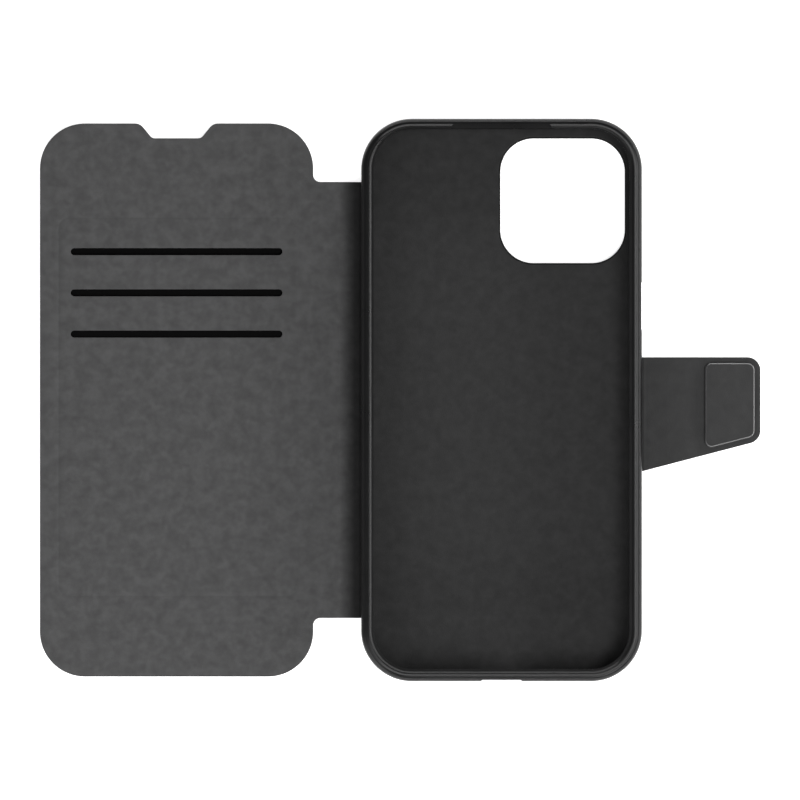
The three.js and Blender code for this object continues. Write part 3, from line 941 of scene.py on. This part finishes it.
def quarter_turn(steps):
    """The sine and the cosine of each step from no turn to a quarter turn."""
    angles = [math.pi / 2 * step / steps for step in range(steps + 1)]
    return [(math.sin(angle), math.cos(angle)) for angle in angles]


def tray_profile():
    """The wall's section as (inset, height): outside, over the lip, and down inside."""
    foot, foot_flat = 0.6 * MM, 0.4 * MM
    points = [(foot + foot_flat, tray_bottom)]
    for sine, cosine in quarter_turn(6):
        points.append((foot * (1 - sine), tray_bottom + foot * (1 - cosine)))

    bead_in, bead_width, bead_height = 1.42 * MM, 1.36 * MM, 0.46 * MM
    shoulder_in, shoulder_down = 1.38 * MM, 1.8 * MM
    shoulder_top = tray_top - bead_height
    for sine, cosine in quarter_turn(8):
        points.append((shoulder_in * (1 - cosine), shoulder_top - shoulder_down * (1 - sine)))

    # The raised bead has straight flanks and a round crest. Then comes the flat inner lip.
    roundness = 0.25
    flank = math.hypot(1, roundness) - roundness
    steps = 28
    for step in range(1, steps + 1):
        share = step / steps
        fall = (math.hypot(2 * share - 1, roundness) - roundness) / flank
        points.append((bead_in + bead_width * share, shoulder_top + bead_height * (1 - fall)))

    reach = lip_reach["side"]
    broken, underside, ceiling_corner = 0.03 * MM, 0.07 * MM, 0.2 * MM
    lip_top = shoulder_top - 0.01 * MM
    fillet_outer, fillet_inner = 0.12 * MM, 0.4 * MM
    points += [
        (reach - broken, lip_top),
        (reach, lip_top - broken),
        (reach, bay_ceiling + 0.1 * MM),
        (reach - underside, bay_ceiling),
        (wall + ceiling_corner, bay_ceiling),
        (wall, bay_ceiling - ceiling_corner),
        (wall, bay_floor + fillet_inner),
        (wall + fillet_outer, bay_floor + fillet_outer),
        (wall + fillet_inner, bay_floor),
    ]
    return points


def lip_width(normal_x, normal_y):
    """How far the lip reaches in, by which way the wall faces."""
    end = lip_reach["top"] if normal_y > 0 else lip_reach["bottom"]
    return lip_reach["side"] * normal_x**2 + end * normal_y**2


def divided_together(loop, partner, longest):
    """Two matching loops with points added along the sides of the first that are long."""
    loop, partner = np.asarray(loop), np.asarray(partner)
    points, partners = [], []
    for index in range(len(loop)):
        step = loop[index] - loop[index - 1]
        partner_step = partner[index] - partner[index - 1]
        count = max(1, math.ceil(np.hypot(*step) / longest))
        for part in range(1, count + 1):
            points.append(loop[index - 1] + step * part / count)
            partners.append(partner[index - 1] + partner_step * part / count)
    return np.array(points), np.array(partners)


def tray_rings():
    """The wall's section carried round the tray. Past the crest it follows the lip's reach."""
    crest, widest = 2.1 * MM, lip_reach["side"]
    outer = outline(tray_corners(0))
    inner = outline(tray_corners(wall))
    outer, inner = divided_together(outer, inner, 5 * MM)
    inward = (inner - outer) / wall
    reach = np.array([lip_width(x, y) for x, y in inward])
    rings = []
    for inset, height in tray_profile():
        here = np.full(len(outer), inset)
        if height > bay_ceiling - 0.01 * MM and inset > crest:
            here = crest + (inset - crest) * (reach - crest) / (widest - crest)
        points = outer + inward * here[:, None]
        rings.append([(x, y, height) for x, y in points])
    return rings


beyond = MM  # how far a cutter runs past the face it cuts


def side_window(y, width, height, corner, from_x, to_x):
    """A cutter through a side wall, between two x values."""
    return prism(
        centred_rectangle(y, mid_height, width, height, corner), 0, *sorted((from_x, to_x))
    )


def end_window(x, width, height, corner):
    """A cutter through the bottom wall."""
    return prism(
        centred_rectangle(mid_height, x, height, width, corner),
        1, -edge_y - beyond, -edge_y + wall + beyond,
    )


def button_cutters(node, side):
    """The window and the inner seat of a button in the wall on this side, -1 or 1."""
    low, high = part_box(node)
    y = (low.y + high.y) / 2
    inner, outer = side * (edge_x - wall), side * edge_x
    seat = 0.8 * MM
    return [
        side_window(y, 12.4 * MM, 3.8 * MM, 1.8 * MM, inner, outer + side * beyond),
        side_window(
            y, 14.4 * MM, 5.4 * MM, 2.6 * MM, inner - side * beyond, inner + side * seat
        ),
    ]


def speaker_shelf():
    """The cutter of the shelf in the lip over the phone's top speaker."""
    front, back = 14.9 * MM, 13.0 * MM
    front_y, back_y = edge_y - 4.3 * MM, edge_y - 1.45 * MM
    depth, corner = 0.66 * MM, 0.3 * MM
    return prism(
        [
            (-front, front_y, corner),
            (front, front_y, corner),
            (back, back_y, corner),
            (-back, back_y, corner),
        ],
        2, tray_top - depth, tray_top + beyond,
    )


def port_scoop():
    """The cutter of the shallow scoop outside the charging port."""
    outer, inner, depth = 6.95 * MM, 5.15 * MM, 0.37 * MM
    outer_corner, inner_corner = 0.2 * MM, 0.3 * MM
    return prism(
        [
            (-outer, -edge_y - beyond, outer_corner),
            (outer, -edge_y - beyond, outer_corner),
            (inner, -edge_y + depth, inner_corner),
            (-inner, -edge_y + depth, inner_corner),
        ],
        2, 0, tray_top + beyond,
    )


def power_scoop():
    """The cutter of the shallow scoop outside the power button."""
    low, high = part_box("power_button")
    y = (low.y + high.y) / 2
    outer, inner, depth = 8.3 * MM, 6.3 * MM, 0.16 * MM
    outer_corner, inner_corner = 0.2 * MM, 0.3 * MM
    return prism(
        [
            (edge_x + beyond, y - outer, outer_corner),
            (edge_x + beyond, y + outer, outer_corner),
            (edge_x - depth, y + inner, inner_corner),
            (edge_x - depth, y - inner, inner_corner),
        ],
        2, 0, tray_top + beyond,
    )


def tray():
    """The rubber tray with its windows and scoops."""
    piece = mesh_object("tray", *swept_rings(tray_rings(), closed_tube=False), rubber)
    speaker_x, speaker_corner = 19 * MM, 0.98 * MM
    switch_y = 41 * MM
    cutters = [
        prism(camera_corners(0.4 * MM), 2, tray_bottom - beyond, bay_floor + beyond),
        end_window(0, 12 * MM, 6.2 * MM, 3 * MM),
        end_window(-speaker_x, 13 * MM, 2 * MM, speaker_corner),
        end_window(speaker_x, 13 * MM, 2 * MM, speaker_corner),
        side_window(
            switch_y, 9.4 * MM, 5 * MM, 2.4 * MM, -edge_x - beyond, wall - edge_x + beyond
        ),
        speaker_shelf(),
        port_scoop(),
        power_scoop(),
        *button_cutters("power_button", 1),
        *button_cutters("volume_up_button", -1),
        *button_cutters("volume_down_button", -1),
    ]
    cut(piece, cutters)
    smooth(piece.data, 24)
    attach(piece, "tray")
    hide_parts("tray_shell")


def camera_collar():
    """The rim that lines the camera opening, down through the back."""
    low, high = shell_low.z, bay_floor + 0.05 * MM
    thickness, corner = 1.2 * MM, 0.18 * MM
    section = [
        (-thickness, high), (-thickness, low + corner), (-thickness + corner, low),
        (-corner, low), (0, low + corner), (0, high - corner), (-corner, high),
    ]
    rings = [
        [(x, y, height) for x, y in outline(camera_corners(0), inset)] for inset, height in section
    ]
    piece = mesh_object("camera_collar", *swept_rings(rings, closed_tube=True), rubber)
    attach(piece, "tray")


def tray_lining():
    """The lining on the floor of the bay."""
    rounding = 0.1 * MM
    edge_gap, camera_margin = 0.6 * MM, 0.5 * MM
    plan = Plan(
        tray_corners(wall + edge_gap), holes=[camera_corners(camera_margin)],
        spacing=3 * MM, rounding=rounding,
    )
    top = floor_lining_high.z - rounding_drop(plan.depth, rounding)
    bottom = np.full(len(plan.x), floor_lining_low.z)
    piece = sheet_piece("lining_tray", plan, top, bottom, tray_cloth)
    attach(piece, "tray")
    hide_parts("tray_lining")


# ---- Pieces kept from the frame ------------------------------------------------------


def dress(node, material):
    """Gives a node of the frame its finished material."""
    slots = frame["nodes"][node].material_slots
    for slot in slots:
        slot.link = "OBJECT"
        slot.material = material


def inner_pieces():
    """Dresses the layers, the metal and the button caps that the frame itself shows."""
    # The pocket cloth is black cloth painted darker still, as painted shade down inside the card
    # slots.
    black_cloth_with_painted_shade = woven_cloth("pocket_cloth", 0.004)
    board = pressed_board("pressed_board")
    for node in ("pocket_backing", "pocket_divider_upper", "pocket_divider_lower"):
        dress(node, black_cloth_with_painted_shade)
    for node in ("cover_board", "back_board"):
        dress(node, board)
    for node in ("magnet_upper", "magnet_lower"):
        dress(node, rolled_metal("nickel_" + node, (0.72, 0.71, 0.68), 0.2, (1.0, 1.0, 1.0)))
    dress("catch_plate", rolled_metal("rolled_steel", (0.55, 0.56, 0.57), 0.35, (1.0, 0.05, 1.0)))
    dress("pocket_frame", closed_foam("closed_foam"))
    dress("adhesive_sheet", adhesive_film("adhesive_film"))
    dress("magnet_carrier", moulded_plastic("moulded_plastic"))
    for node in ("power_button", "volume_up_button", "volume_down_button"):
        dress(node, button_rubber)
        soften_edges(frame["nodes"][node], 0.25 * MM, segments=3)


# ---- Table, light and camera ---------------------------------------------------------


def table():
    """A plain pale floor that glows a little, so that the case casts no hard shadow."""
    surface = Surface(
        "table_paint", (0.92, 0.92, 0.92), 0.9, Specular_IOR_Level=0.1,
        Emission_Color=(1, 1, 1, 1), Emission_Strength=0.75,
    )
    surface.tint(surface.spread(surface.noise(0.4), 0.3, 0.7, 0.995, 1.005))
    half = 6000 * MM
    floor_gap = 0.02 * MM
    height = cad_bounds[0].z - floor_gap
    corners = [(-half, -half), (half, -half), (half, half), (-half, half)]
    floor = mesh_object(
        "table", [(x, y, height) for x, y in corners], [(0, 1, 2, 3)], surface.material
    )


def soft_light(name, place, width, height, power):
    """A soft box that faces the middle of the case."""
    light = bpy.data.lights.new(name, "AREA")
    light.shape = "RECTANGLE"
    light.size = width
    light.size_y = height
    light.energy = power
    lamp = bpy.data.objects.new(name, light)
    lamp.location = place
    towards = picture_centre - Vector(place)
    lamp.rotation_euler = towards.to_track_quat("-Z", "Y").to_euler()
    bpy.context.scene.collection.objects.link(lamp)


def studio():
    """A broad key light, and low strips whose light the bead and the shoulder catch."""
    soft_light("light_key", (0.42, -0.25, 1.1), 1.2, 0.4, 10.6)
    soft_light("light_left", (-0.32, -0.28, 0.27), 0.3, 0.3, 0.95)
    soft_light("light_right", (0.75, 0.0, 0.2), 1.5, 0.12, 4.8)
    soft_light("light_bottom", (0.0, -0.8, 0.22), 1.5, 0.12, 4.2)
    soft_light("light_top", (0.0, 0.8, 0.22), 1.5, 0.12, 4.6)
    world = bpy.data.worlds.new("studio")
    bpy.context.scene.world = world
    world.use_nodes = True
    tree = world.node_tree
    direction = tree.nodes.new("ShaderNodeTexCoord")
    parts = tree.nodes.new("ShaderNodeSeparateXYZ")
    ramp = tree.nodes.new("ShaderNodeMapRange")
    ramp.interpolation_type = "SMOOTHSTEP"
    for name, number in zip(("From Min", "From Max", "To Min", "To Max"), (0.0, 0.7, 0.3, 0.12)):
        ramp.inputs[name].default_value = number
    tree.links.new(direction.outputs["Generated"], parts.inputs["Vector"])
    tree.links.new(parts.outputs["Z"], ramp.inputs["Value"])
    tree.links.new(ramp.outputs["Result"], tree.nodes["Background"].inputs["Color"])


picture_width = 216 * MM
picture_centre = Vector((-27.4 * MM, 0, 4 * MM))


def camera():
    """A long lens straight above, so that the picture has almost no perspective."""
    data = bpy.data.cameras.new("camera")
    data.lens = 1000
    data.sensor_width = 36
    data.clip_end = 100
    made = bpy.data.objects.new("camera", data)
    distance = picture_width * data.lens / data.sensor_width
    made.location = picture_centre + Vector((0, 0, distance))
    bpy.context.scene.collection.objects.link(made)
    bpy.context.scene.camera = made


outer_skin()
cover_lining()
cover_edge()
strap_lining()
tray()
camera_collar()
tray_lining()
inner_pieces()
table()
studio()
camera()
bpy.context.scene.view_settings.view_transform = "Standard"
